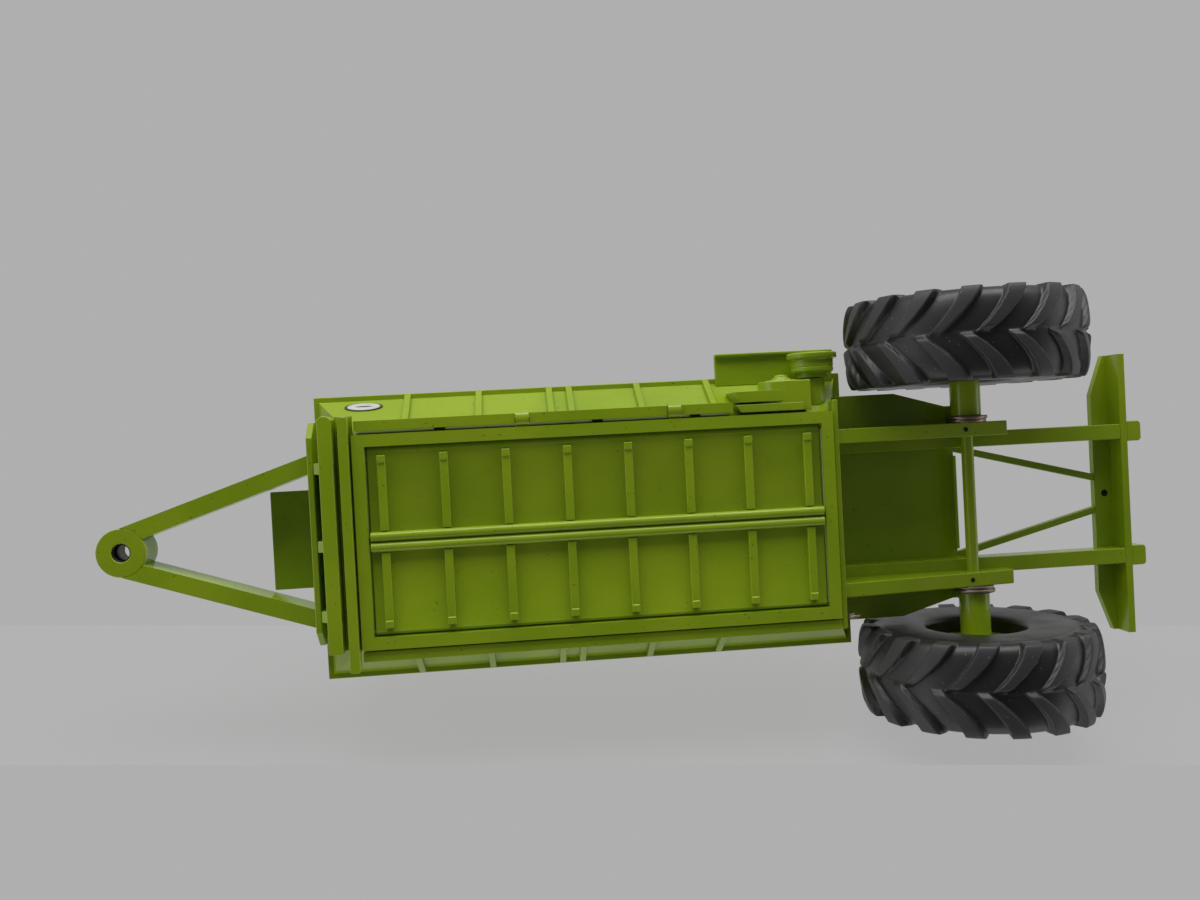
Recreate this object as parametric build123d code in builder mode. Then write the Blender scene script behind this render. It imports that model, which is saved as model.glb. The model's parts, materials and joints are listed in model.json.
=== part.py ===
"""Scale model of a two-wheeled, belly-emptying hopper wagon, millimetres, +X forward, +Y left, +Z up.

The origin is on the ground under the middle of the overall length. Heights are above the ground.
Lengths named ..._x are first set from the axle, so `from_axle` moves them into the part's frame.
"""

import math
import os

from build123d import *

# ---- overall sizes -------------------------------------------------------------------------------
tyre_dia = 64.0
tyre_width = 23.0
rim_dia = 26.0
track = 88.5
eye_ahead = 225.3           # hitch pin centre ahead of the axle
tail_behind = 51.6          # end of the tail stubs behind the axle
eye_dia = 12.6
eye_bore = 4.8
hopper_length = 144.0       # over the flange

axle_z = tyre_dia / 2
axle_at = (tail_behind - eye_ahead - eye_dia / 2) / 2


def from_axle(distance):
    """X of a plane that lies `distance` ahead of the axle."""
    return axle_at + distance


# ---- clearances ----------------------------------------------------------------------------------
running_gap = 0.05          # radial, pins and shafts that turn
slide_gap = 0.15
door_gap = 0.45             # round the belly frame and the doors
lid_gap = 0.5               # between the belly frame and the hopper's mouth
far = 80.0                  # reach of a cut that runs past everything

# ---- hopper --------------------------------------------------------------------------------------
sheet = 1.2
ledge = 1.4                 # how far flange and rim stand out past the walls
flange_rear = from_axle(tyre_dia / 2)
flange_front = flange_rear + hopper_length
flange_half_width = 37.8
flange_z = axle_z + 9.0
flange_thick = 2.0
mouth_rear = flange_rear + 8.4
mouth_front = flange_front - 12.4
mouth_half_width = 26.6
mouth_z = axle_z - 6.5
mouth_lip = 2.4             # how far the mouth's lip stands in, behind the gap round the doors
mouth_lip_thick = 1.0
mouth_beam = 2.4            # width of the beam behind the gap between the doors
box_height = 34.0
rim_thick = 2.2

# ---- belly frame and doors -----------------------------------------------------------------------
frame_bar = 3.1
frame_thick = 3.0
frame_over = 0.5            # how far the frame stands out past the mouth, on each side
belly_z = mouth_z - lid_gap - frame_thick
frame_front = mouth_front + 0.1
frame_rear = mouth_rear - 0.1
frame_half = mouth_half_width + frame_over
door_thick = 1.2
door_rib_width = 2.1
door_rib_height = 1.3
door_rib_inset = 7.0        # from the mouth's end to the first rib
door_ribs = 8
door_rib_pitch = (mouth_front - mouth_rear - 2 * door_rib_inset) / (door_ribs - 1)
foot_height = 1.7
foot_length = 1.8
foot_inset = 1.8            # from the door's outer edge to the rib's foot
lip_dia = 2.4
lip_gap = 0.12              # half the gap between the two lips
lip_bite = 0.35             # how deep a lip's round sinks into the door
door_inner = 0.4            # half the gap between the two doors
door_edge_dia = 1.4         # rolled outer edge that the door pins run in
door_pin_dia = 0.6
door_pin_length = 1.2       # how far a pin reaches into the frame

# ---- hinge on the left of the belly --------------------------------------------------------------
hinge_y = frame_half + 2.1
hinge_z = belly_z + 1.4
hinge_bar_width = 2.7
hinge_bar_low = 1.2         # from the hinge's centre down to the bar's lower face
hinge_bar_top = mouth_z + 1.7
hinge_bar_rear = mouth_rear + 26.1
hinge_bar_front = mouth_front - 0.6
knuckle_dia = 4.0
knuckle_length = 3.4
knuckle_web = 1.6
notch_gap = 0.3             # over a knuckle
hinge_pin_dia = 1.4
hinge_pin_half = 6.0
knuckle_spots = (mouth_front - 42.8, mouth_rear + 41.3)
tie_width = 3.0
tie_height = 2.6

# ---- lip along the right of the belly ------------------------------------------------------------
right_lip_width = 2.6
right_lip_thick = 1.2
right_lip_web = 1.0
lip_inner = frame_half + door_gap
lip_outer = lip_inner + right_lip_width
lip_web = lip_inner + right_lip_web
lip_low = hinge_z - right_lip_thick / 2
lip_high = hinge_z + right_lip_thick / 2

# ---- latch at the front of the belly -------------------------------------------------------------
latch_width = 2.5
latch_depth = 4.4
latch_ahead = 0.7           # from the mouth to the latch bar
latch_left = hinge_y + 2.5
latch_right = -(frame_half + 5.3)
latch_corner = 0.3
guide_thick = 1.4
guide_slots = ((14.0, 28.0), (-22.0, -13.5))
guide_slot_width = 0.9
guide_slot_inset = 0.5
front_bar_front = mouth_front + 8.2
front_bar_width = 3.6
front_bar_bottom = belly_z - 1.0
front_bar_corner = 1.0

# ---- front plate, struts and drawbar -------------------------------------------------------------
front_plate_thick = 1.6
front_plate_left = 31.0
front_plate_right = -27.0
front_plate_corner = 4.0
front_plate_up = 2.0        # from the guide plate to the front plate's lower edge
strut_spots = (-19.0, -1.0, 19.0)
strut_width = 3.0
arm_width = 4.6
arm_height = 9.0
arm_bottom = axle_z + 2.0
arm_spread = 22.7           # outer face of an arm at the front plate
shelf_ahead = 13.0
shelf_width = 26.4
shelf_thick = 1.4

# ---- rear chassis --------------------------------------------------------------------------------
rail_spread = 17.4          # middle of a rail from the centre line
rail_width = 4.2
rail_height = 5.4
deck_thick = 1.2
rail_top = flange_z - deck_thick
rail_bottom = rail_top - rail_height
end_plate_thick = 1.3
end_half = frame_half + 2.9
end_plate_up = 1.2          # from the belly to the end plate's lower edge
deck_half = track / 2 - tyre_width / 2 - 1.55
deck_rear_half = deck_half - 4.2
deck_rear = from_axle(0.5)
deck_cut_front = from_axle(17.0)
deck_cut_rear = from_axle(2.5)
deck_edge_thick = 1.0
deck_edge_depth = 1.6
deck_edge_outside = 1.1     # from a rail to the edge beside it
deck_edge_inside = 2.3
tail_half_width = 39.0
tail_flange = 7.0
tail_web = 1.9
tail_tip = 3.0
tail_taper = 11.0
tail_hole_inset = 2.9
tail_hole_dia = 2.0
tail_side_hole_dia = 0.9
stub_width = 5.6
stub_length = 4.1
stub_over = 0.6
stub_corner = 1.0
brace_width = 1.9
brace_deck_inset = 2.4      # from the middle of a rail to the brace's front end
brace_tail_half = 4.6       # from the centre line to the brace's rear end

# ---- axle ----------------------------------------------------------------------------------------
axle_dia = 3.2
axle_arm_width = 3.8
axle_arm_spread = 20.3      # middle of an axle arm from the centre line
axle_arm_behind = 10.4
axle_arm_up = 2.0           # from the belly to the arm's lower edge at the end plate
axle_arm_knee = 3.6         # from the axle down to the arm's lower edge
axle_arm_tail = 2.4
rail_seat = 0.1             # between the axle arms and the rails
washer_dia = 11.0
washer_thick = 0.9
spacer_dia = 8.0
hub_recess = 5.0
hub_web = 11.0
hub_disc = 3.0
hub_rim = 1.5
boss_wall = 1.0
cap_dia = 8.5
cap_thick = 2.4
cap_corner = 0.8
rod_in_cap = 1.7

# ---- side ribs and badge -------------------------------------------------------------------------
rib_width = 1.8
rib_depth = 1.6
rib_top_depth = 1.3
box_rib_depth = 1.1
rib_start_gap = 0.6         # from the right lip's web up to the lower end of a side rib
side_rib_spots = tuple(mouth_front - x for x in (12.6, 31.6, 50.6, 56.0, 74.6, 93.8))
badge_x = mouth_front - 1.2
badge_z = flange_z - 3.0
badge_length = 10.0
badge_height = 4.0
badge_thick = 0.25

# ---- belt drive on the left ----------------------------------------------------------------------
drive_x = mouth_rear + 1.8
drive_z = mouth_z + 6.7
shaft_dia = 3.0
shaft_inside = 3.4          # from the wall's outer face to the shaft's inner end
boss_dia = 6.4
gear_x = mouth_rear + 11.4
gear_z = mouth_z + 3.4
gear_dia = 12.4
cup_start = frame_half + 0.7
cup_end = cup_start + 7.8
cup_wall = 1.3
cup_depth = 3.0
nut_proud = 0.4
nut_corner = 1.6
nut_stud_dia = 4.0
nut_stud_proud = 1.8
nut_stud_corner = 0.9
bracket_rear = mouth_rear + 7.4
bracket_front = hinge_bar_rear - 0.8
bracket_point = 1.6
bracket_height = 12.0
lower_bracket_width = 2.0
upper_bracket_start = cup_start + 2.6
upper_bracket_width = 2.8
boss_end = cup_start + 8.4
pulley_dia = 13.2
pulley_hub_dia = 8.0
pulley_hub_end = boss_end + 1.4
pulley_groove_end = boss_end + 4.8
pulley_groove = 0.7         # how far the grooved part lies inside the flange
pulley_end = boss_end + 6.8
pulley_corner = 0.3
guard_rear = flange_rear + 2.4
guard_front = flange_rear + 35.2
guard_thick = 1.4
guard_half = pulley_end + 1.4
guard_lip = 1.2
guard_lip_thick = 0.8

# ---- wire catch at the rear right corner ---------------------------------------------------------
catch_radius = 1.5
catch_wire = 0.9
catch_up = 2.6

os.makedirs("parts", exist_ok=True)


def save(piece, name):
    """Label one finished piece and write its STEP file."""
    piece.part.label = name
    export_step(piece.part, f"parts/{name}.step")


def block(x0, x1, y0, y1, z0, z1, mode=Mode.ADD):
    """A box between two corners, in the part being built."""
    with Locations(((x0 + x1) / 2, (y0 + y1) / 2, (z0 + z1) / 2)):
        Box(abs(x1 - x0), abs(y1 - y0), abs(z1 - z0), mode=mode)


def rod_along_x(x0, x1, y, z, dia, mode=Mode.ADD):
    """A round bar along X."""
    with Locations(Location(((x0 + x1) / 2, y, z), (0, 90, 0))):
        Cylinder(dia / 2, abs(x1 - x0), mode=mode)


def rod_along_y(x, y0, y1, z, dia, mode=Mode.ADD):
    """A round bar along Y."""
    with Locations(Location((x, (y0 + y1) / 2, z), (90, 0, 0))):
        Cylinder(dia / 2, abs(y1 - y0), mode=mode)


def wall_y(z):
    """Half-width of the flared side wall at height z."""
    rise = (z - mouth_z) / (flange_z - mouth_z)
    return mouth_half_width + rise * (wall_top_half - mouth_half_width)


def wall_z(half_width):
    """Height at which the flared side wall's outer face has this half-width."""
    share = (half_width - mouth_half_width) / (wall_top_half - mouth_half_width)
    return mouth_z + share * (flange_z - mouth_z)


def wall_x(z):
    """X of the flared front wall's outer face at height z."""
    rise = (z - mouth_z) / (flange_z - mouth_z)
    return mouth_front + rise * (wall_top_front - mouth_front)


wall_top_front = flange_front - ledge
wall_top_rear = flange_rear + ledge
wall_top_half = flange_half_width - ledge

# ---- hopper shell: four flared walls, open below and above ---------------------------------------
with BuildPart() as hopper_shell:
    with BuildSketch(Plane.XY.offset(mouth_z)):
        with Locations(((mouth_front + mouth_rear) / 2, 0)):
            Rectangle(mouth_front - mouth_rear, 2 * mouth_half_width)
    with BuildSketch(Plane.XY.offset(flange_z)):
        with Locations(((wall_top_front + wall_top_rear) / 2, 0)):
            Rectangle(wall_top_front - wall_top_rear, 2 * wall_top_half)
    loft(ruled=True)
    with BuildSketch(Plane.XY.offset(mouth_z)):
        with Locations(((mouth_front + mouth_rear) / 2, 0)):
            Rectangle(mouth_front - mouth_rear - 2 * sheet, 2 * (mouth_half_width - sheet))
    with BuildSketch(Plane.XY.offset(flange_z)):
        with Locations(((wall_top_front + wall_top_rear) / 2, 0)):
            Rectangle(wall_top_front - wall_top_rear - 2 * sheet, 2 * (wall_top_half - sheet))
    loft(ruled=True, mode=Mode.SUBTRACT)
    with BuildSketch(Plane.XY.offset(mouth_z)):
        with Locations(((mouth_front + mouth_rear) / 2, 0)):
            Rectangle(mouth_front - mouth_rear - sheet, 2 * mouth_half_width - sheet)
            lip_inset = 2 * (sheet + mouth_lip)
            Rectangle(
                mouth_front - mouth_rear - lip_inset, 2 * mouth_half_width - lip_inset, mode=Mode.SUBTRACT
            )
            Rectangle(mouth_front - mouth_rear - sheet, mouth_beam)
    extrude(amount=mouth_lip_thick)
    rod_along_y(drive_x, 0, flange_half_width, drive_z, shaft_dia + 2 * running_gap, mode=Mode.SUBTRACT)
save(hopper_shell, "hopper_shell")

# ---- flange frame where the flared walls meet the upper box --------------------------------------
with BuildPart() as rim_flange:
    with BuildSketch(Plane.XY.offset(flange_z)):
        with Locations(((flange_front + flange_rear) / 2, 0)):
            Rectangle(flange_front - flange_rear, 2 * flange_half_width)
        with Locations(((wall_top_front + wall_top_rear) / 2, 0)):
            Rectangle(
                wall_top_front - wall_top_rear - 2 * sheet,
                2 * (wall_top_half - sheet),
                mode=Mode.SUBTRACT,
            )
    extrude(amount=flange_thick)
save(rim_flange, "rim_flange")

box_z = flange_z + flange_thick
top_z = box_z + box_height

# ---- upper box, four plumb walls -----------------------------------------------------------------
with BuildPart() as upper_box:
    with BuildSketch(Plane.XY.offset(box_z)):
        with Locations(((wall_top_front + wall_top_rear) / 2, 0)):
            Rectangle(wall_top_front - wall_top_rear, 2 * wall_top_half)
            Rectangle(
                wall_top_front - wall_top_rear - 2 * sheet,
                2 * (wall_top_half - sheet),
                mode=Mode.SUBTRACT,
            )
    extrude(amount=box_height)
save(upper_box, "upper_box")

# ---- top rim round the open top ------------------------------------------------------------------
with BuildPart() as top_rim:
    with BuildSketch(Plane.XY.offset(top_z)):
        with Locations(((flange_front + flange_rear) / 2, 0)):
            RectangleRounded(flange_front - flange_rear, 2 * flange_half_width, ledge)
        with Locations(((wall_top_front + wall_top_rear) / 2, 0)):
            Rectangle(
                wall_top_front - wall_top_rear - 2 * sheet,
                2 * (wall_top_half - sheet),
                mode=Mode.SUBTRACT,
            )
    extrude(amount=rim_thick)
save(top_rim, "top_rim")


# ---- ribs on the flared side walls and on the upper box ------------------------------------------
def flared_ribs(side):
    """Flat ribs up one flared wall, each following the wall from the mouth to the flange."""
    low = wall_z(lip_web) + rib_start_gap
    inner_low = wall_y(low)
    inner_high = wall_y(flange_z)
    for x in side_rib_spots:
        with BuildSketch(Plane.YZ.offset(x - rib_width / 2)) as outline:
            with BuildLine():
                Polyline(
                    (side * inner_low, low),
                    (side * inner_high, flange_z),
                    (side * (inner_high + rib_top_depth), flange_z),
                    (side * (inner_low + rib_depth), low),
                    close=True,
                )
            make_face()
        extrude(outline.sketch, amount=rib_width)


for side, name in ((1, "left"), (-1, "right")):
    with BuildPart() as side_ribs:
        flared_ribs(side)
    save(side_ribs, f"side_ribs_{name}")
    with BuildPart() as box_ribs:
        for x in side_rib_spots:
            inner = side * wall_top_half
            block(x - rib_width / 2, x + rib_width / 2, inner, inner + side * box_rib_depth, box_z, top_z)
    save(box_ribs, f"upper_ribs_{name}")

# ---- oval badge on the left flared wall ----------------------------------------------------------
flare_angle = math.degrees(math.atan2(wall_top_half - mouth_half_width, flange_z - mouth_z))
badge_plane = Plane(
    origin=(badge_x, wall_y(badge_z), badge_z),
    x_dir=(-1, 0, 0),
    z_dir=(0, math.cos(math.radians(flare_angle)), -math.sin(math.radians(flare_angle))),
)
with BuildPart() as side_badge:
    with BuildSketch(badge_plane):
        Ellipse(badge_length / 2, badge_height / 2)
    extrude(amount=badge_thick)
save(side_badge, "side_badge")

# ---- belly frame: the hinged ring that carries both doors ----------------------------------------
door_front = frame_front - frame_bar - door_gap
door_rear = frame_rear + frame_bar + door_gap
door_outer = frame_half - frame_bar - door_gap
door_z = belly_z + door_rib_height
door_pin_y = door_outer - door_edge_dia / 2
door_pin_z = door_z + door_thick / 2
with BuildPart() as belly_frame:
    with BuildSketch(Plane.XY.offset(belly_z)):
        with Locations(((frame_front + frame_rear) / 2, 0)):
            Rectangle(frame_front - frame_rear, 2 * frame_half)
            Rectangle(
                frame_front - frame_rear - 2 * frame_bar, 2 * (frame_half - frame_bar), mode=Mode.SUBTRACT
            )
    extrude(amount=frame_thick)
    for x in knuckle_spots:
        block(
            x - knuckle_length / 2, x + knuckle_length / 2,
            frame_half - knuckle_web / 2, hinge_y, hinge_z - knuckle_web / 2, hinge_z + knuckle_web / 2,
        )
        rod_along_x(x - knuckle_length / 2, x + knuckle_length / 2, hinge_y, hinge_z, knuckle_dia)
        rod_along_x(
            x - knuckle_length, x + knuckle_length, hinge_y, hinge_z,
            hinge_pin_dia + 2 * running_gap, mode=Mode.SUBTRACT,
        )
    for side in (1, -1):
        rod_along_x(
            door_rear - door_gap - door_pin_length - slide_gap, door_rear, side * door_pin_y, door_pin_z,
            door_pin_dia + 2 * running_gap, mode=Mode.SUBTRACT,
        )
        rod_along_x(
            door_front, door_front + door_gap + door_pin_length + slide_gap, side * door_pin_y, door_pin_z,
            door_pin_dia + 2 * running_gap, mode=Mode.SUBTRACT,
        )
save(belly_frame, "belly_frame")

# ---- hinge bar on the hopper, notched for the frame's knuckles -----------------------------------
with BuildPart() as hinge_bar:
    block(
        hinge_bar_rear, hinge_bar_front,
        hinge_y - hinge_bar_width / 2 + slide_gap, hinge_y + hinge_bar_width / 2,
        hinge_z - hinge_bar_low, hinge_bar_top,
    )
    for x in knuckle_spots:
        half_notch = knuckle_length / 2 + slide_gap
        block(
            x - half_notch, x + half_notch, hinge_y - knuckle_dia, hinge_y + knuckle_dia,
            hinge_z - knuckle_dia, hinge_z + knuckle_dia / 2 + notch_gap, mode=Mode.SUBTRACT,
        )
        rod_along_x(
            x - hinge_pin_half, x + hinge_pin_half, hinge_y, hinge_z, hinge_pin_dia, mode=Mode.SUBTRACT
        )
save(hinge_bar, "hinge_bar")

with BuildPart() as hinge_pins:
    for x in knuckle_spots:
        rod_along_x(x - hinge_pin_half, x + hinge_pin_half, hinge_y, hinge_z, hinge_pin_dia)
save(hinge_pins, "hinge_pins")

# ---- ties between the hinge bar and the hopper's left wall ---------------------------------------
with BuildPart() as hinge_bar_ties:
    for x in (hinge_bar_rear + 3 * tie_width, sum(knuckle_spots) / 2, hinge_bar_front - 7 * tie_width):
        with BuildSketch(Plane.YZ.offset(x - tie_width / 2)):
            with BuildLine():
                Polyline(
                    (wall_y(hinge_bar_top), hinge_bar_top),
                    (hinge_y + hinge_bar_width / 2, hinge_bar_top),
                    (wall_y(hinge_bar_top + tie_height), hinge_bar_top + tie_height),
                    close=True,
                )
            make_face()
        extrude(amount=tie_width)
save(hinge_bar_ties, "hinge_bar_ties")

# ---- lip along the right wall, opposite the hinge ------------------------------------------------
with BuildPart() as right_lip:
    with BuildSketch(Plane.YZ.offset(mouth_rear)):
        with BuildLine():
            Polyline(
                (-lip_inner, lip_low), (-lip_outer, lip_low), (-lip_outer, lip_high), (-lip_web, lip_high),
                (-lip_web, wall_z(lip_web)), (-lip_inner, wall_z(lip_inner)),
                close=True,
            )
        make_face()
    extrude(amount=mouth_front - mouth_rear)
save(right_lip, "right_lip")

# ---- two ribbed doors in the frame ---------------------------------------------------------------
def door(side):
    """One belly door: a sheet with a rolled outer edge that the pins run in."""
    block(
        door_rear, door_front, side * door_inner, side * door_pin_y, door_z, door_z + door_thick,
    )
    rod_along_x(door_rear, door_front, side * door_pin_y, door_pin_z, door_edge_dia)
    rod_along_x(
        door_rear - 1, door_front + 1, side * door_pin_y, door_pin_z,
        door_pin_dia + 2 * running_gap, mode=Mode.SUBTRACT,
    )


def door_rib_set(side):
    """The cross ribs under one door, each with a raised foot at its outer end."""
    for k in range(door_ribs):
        x = mouth_front - door_rib_inset - k * door_rib_pitch
        x0 = x - door_rib_width / 2
        x1 = x + door_rib_width / 2
        foot_end = side * (door_outer - foot_inset)
        block(x0, x1, side * (lip_gap + lip_dia + slide_gap), foot_end, door_z - door_rib_height, door_z)
        block(x0, x1, foot_end - side * foot_length, foot_end, door_z - foot_height, door_z)


for side, name in ((1, "left"), (-1, "right")):
    with BuildPart() as belly_door:
        door(side)
    save(belly_door, f"{name}_door")
    with BuildPart() as door_rib_group:
        door_rib_set(side)
    save(door_rib_group, f"{name}_door_ribs")
    with BuildPart() as door_lip:
        lip_y = side * (lip_dia / 2 + lip_gap)
        rod_along_x(door_rear, door_front, lip_y, door_z - lip_dia / 2 + lip_bite, lip_dia)
        block(door_rear, door_front, 0, side * 2 * lip_dia, door_z, door_z + lip_dia, mode=Mode.SUBTRACT)
    save(door_lip, f"{name}_door_lip")
    with BuildPart() as door_pin:
        rod_along_x(
            door_rear - door_gap - door_pin_length, door_front + door_gap + door_pin_length,
            side * door_pin_y, door_pin_z, door_pin_dia,
        )
    save(door_pin, f"{name}_door_pins")

# ---- guide plate, front bar and front plate at the hopper's front end ----------------------------
left_end = latch_left + door_gap
right_end = -(frame_half + lip_bite)
front_bar_rear = front_bar_front - front_bar_width
with BuildPart() as guide_plate:
    block(mouth_front, front_bar_rear, right_end, left_end, mouth_z, mouth_z + guide_thick)
    slot_front = front_bar_rear - guide_slot_inset
    for y0, y1 in guide_slots:
        block(
            slot_front - guide_slot_width, slot_front, y0, y1,
            mouth_z - guide_thick, mouth_z + 2 * guide_thick, mode=Mode.SUBTRACT,
        )
    with BuildSketch(Plane.XZ.offset(-far / 2)):
        with BuildLine():
            Polyline(
                (mouth_rear, mouth_z), (mouth_front, mouth_z),
                (wall_top_front, flange_z), (mouth_rear, flange_z),
                close=True,
            )
        make_face()
    extrude(amount=far, mode=Mode.SUBTRACT)
save(guide_plate, "latch_guide_plate")

with BuildPart() as front_bar:
    block(front_bar_rear, front_bar_front, right_end, left_end, front_bar_bottom, mouth_z + guide_thick)
    chamfer(front_bar.edges().filter_by(Axis.Z).sort_by(Axis.Y)[-2:], front_bar_corner)
save(front_bar, "front_bar")

plate_rear = wall_top_front
plate_bottom = mouth_z + guide_thick + front_plate_up
with BuildPart() as front_plate:
    with BuildSketch(Plane.YZ.offset(plate_rear)):
        with BuildLine():
            Polyline(
                (front_plate_right, flange_z),
                (front_plate_right, plate_bottom + front_plate_corner),
                (front_plate_right + front_plate_corner, plate_bottom),
                (front_plate_left - front_plate_corner, plate_bottom),
                (front_plate_left, plate_bottom + front_plate_corner),
                (front_plate_left, flange_z),
                close=True,
            )
        make_face()
    extrude(amount=front_plate_thick)
save(front_plate, "front_plate")

# ---- struts that carry the front plate and the front bar from the flared front wall --------------
with BuildPart() as front_struts:
    for y in strut_spots:
        with BuildSketch(Plane.XZ.offset(-y - strut_width / 2)):
            with BuildLine():
                Polyline(
                    (wall_x(mouth_z + guide_thick), mouth_z + guide_thick),
                    (front_bar_front, mouth_z + guide_thick),
                    (plate_rear, plate_bottom),
                    (plate_rear, flange_z),
                    close=True,
                )
            make_face()
        extrude(amount=strut_width)
save(front_struts, "front_struts")

# ---- sliding latch bar under the guide plate -----------------------------------------------------
latch_rear = mouth_front + latch_ahead
with BuildPart() as latch_bar:
    block(
        latch_rear, latch_rear + latch_width, latch_right, latch_left,
        mouth_z - slide_gap - latch_depth, mouth_z - slide_gap,
    )
    chamfer(latch_bar.edges().filter_by(Axis.Z), latch_corner)
save(latch_bar, "latch_bar")

# ---- A-frame drawbar -----------------------------------------------------------------------------
eye_x = from_axle(eye_ahead)
plate_front = plate_rear + front_plate_thick
arm_root_y = arm_spread - arm_width / 2
eye_offset = (eye_dia - arm_width) / 2
with BuildPart() as hitch_eye:
    with BuildSketch(Plane.XY.offset(arm_bottom)):
        with Locations((eye_x, 0)):
            Circle(eye_dia / 2)
            Circle(eye_bore / 2, mode=Mode.SUBTRACT)
    extrude(amount=arm_height)
save(hitch_eye, "hitch_eye")


def drawbar_arm(side):
    """One straight arm on edge, from the front plate to the side of the eye."""
    run = Vector(eye_x - plate_front, side * (eye_offset - arm_root_y))
    across = Vector(-run.Y, run.X).normalized() * (arm_width / 2)
    root = Vector(plate_front, side * arm_root_y)
    tip = Vector(eye_x, side * eye_offset)
    corners = (root - across, tip - across, tip + across, root + across)
    with BuildSketch(Plane.XY.offset(arm_bottom)) as outline:
        with BuildLine():
            Polyline(*[(c.X, c.Y) for c in corners], close=True)
        make_face()
        with Locations((plate_front - far / 2, 0)):
            Rectangle(far, far, mode=Mode.SUBTRACT)
        with Locations((eye_x, 0)):
            Circle(eye_dia / 2, mode=Mode.SUBTRACT)
        with Locations((eye_x + eye_dia / 2, 0)):
            Rectangle(eye_dia, eye_dia * 2, mode=Mode.SUBTRACT)
    extrude(outline.sketch, amount=arm_height)


for side, name in ((1, "left"), (-1, "right")):
    with BuildPart() as arm:
        drawbar_arm(side)
        block(
            plate_front, eye_x, 0, -side * far, arm_bottom - arm_height, arm_bottom + 2 * arm_height,
            mode=Mode.SUBTRACT,
        )
    save(arm, f"drawbar_arm_{name}")

# ---- shelf over the arms, bent down against the front plate --------------------------------------
with BuildPart() as front_shelf:
    block(
        plate_front, plate_front + shelf_ahead, -shelf_width / 2, shelf_width / 2,
        arm_bottom + arm_height, arm_bottom + arm_height + shelf_thick,
    )
    block(
        plate_front, plate_front + shelf_thick, -shelf_width / 2, shelf_width / 2,
        flange_z - shelf_thick, arm_bottom + arm_height,
    )
save(front_shelf, "front_shelf")


def trim_to_rear_wall():
    """Cut away what would stand inside the sloped rear wall of the hopper."""
    with BuildSketch(Plane.XZ.offset(-far / 2)) as outline:
        with BuildLine():
            Polyline(
                (mouth_rear, 0),
                (mouth_rear, mouth_z),
                (wall_top_rear, flange_z),
                (wall_top_rear, top_z),
                (mouth_front, top_z),
                (mouth_front, 0),
                close=True,
            )
        make_face()
    extrude(outline.sketch, amount=far, mode=Mode.SUBTRACT)


def trim_to_left_wall():
    """Cut away what would stand inside the flared left wall of the hopper."""
    with BuildSketch(Plane.YZ.offset(flange_rear)) as outline:
        with BuildLine():
            Polyline(
                (mouth_half_width, mouth_z),
                (wall_top_half, flange_z),
                (0, flange_z),
                (0, mouth_z),
                close=True,
            )
        make_face()
    extrude(outline.sketch, amount=hopper_length, mode=Mode.SUBTRACT)


# ---- end plate on the hopper's rear wall ---------------------------------------------------------
end_rear = frame_rear - door_gap - end_plate_thick
with BuildPart() as end_plate:
    block(end_rear, mouth_rear, -end_half, end_half, belly_z + end_plate_up, rail_bottom - rail_seat)
    block(frame_rear - door_gap, mouth_front, -far, far, 0, mouth_z, mode=Mode.SUBTRACT)
    trim_to_rear_wall()
save(end_plate, "end_plate")

# ---- two chassis rails from the rear wall to the tail angle --------------------------------------
tail_rear = from_axle(-(tail_behind - stub_length))
tail_front = tail_rear + tail_flange
web_front = tail_rear + tail_web
for side, name in ((1, "left"), (-1, "right")):
    with BuildPart() as rail:
        y0 = side * (rail_spread - rail_width / 2)
        y1 = side * (rail_spread + rail_width / 2)
        block(web_front, mouth_rear, y0, y1, rail_bottom, rail_top)
        rod_along_y(axle_at, -far, far, axle_z, axle_dia + 2 * running_gap, mode=Mode.SUBTRACT)
        trim_to_rear_wall()
    save(rail, f"chassis_rail_{name}")

# ---- deck over the rails, with its rear corners cut back in front of the tyres -------------------
with BuildPart() as rear_deck:
    with BuildSketch(Plane.XY.offset(rail_top)):
        with BuildLine():
            Polyline(
                (mouth_rear, -deck_half), (deck_cut_front, -deck_half), (deck_cut_rear, -deck_rear_half),
                (deck_rear, -deck_rear_half), (deck_rear, deck_rear_half), (deck_cut_rear, deck_rear_half),
                (deck_cut_front, deck_half), (mouth_rear, deck_half),
                close=True,
            )
        make_face()
    extrude(amount=deck_thick)
    edge_in = rail_spread - rail_width / 2 - deck_edge_inside
    edge_out = rail_spread + rail_width / 2 + deck_edge_outside
    for y0, y1 in ((-edge_in, edge_in), (edge_out, deck_rear_half), (-deck_rear_half, -edge_out)):
        block(deck_rear, deck_rear + deck_edge_thick, y0, y1, rail_top - deck_edge_depth, rail_top)
    trim_to_rear_wall()
save(rear_deck, "rear_deck")

# ---- tail angle across the rails, its flange on top and its web behind ---------------------------
with BuildPart() as tail_angle:
    with BuildSketch(Plane.XY.offset(rail_top)):
        with BuildLine():
            Polyline(
                (tail_rear, -tail_half_width), (tail_rear + tail_tip, -tail_half_width),
                (tail_front, -tail_half_width + tail_taper), (tail_front, tail_half_width - tail_taper),
                (tail_rear + tail_tip, tail_half_width), (tail_rear, tail_half_width),
                close=True,
            )
        make_face()
    extrude(amount=tail_web)
    block(tail_rear, web_front, -tail_half_width, tail_half_width, rail_bottom, rail_top + tail_web)
    with Locations((tail_front - tail_hole_inset, 0, rail_top + tail_web)):
        Hole(tail_hole_dia / 2)
    with Locations((tail_front - tail_hole_inset, rail_spread, rail_top + tail_web)):
        Hole(tail_side_hole_dia / 2)
save(tail_angle, "tail_angle")

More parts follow.
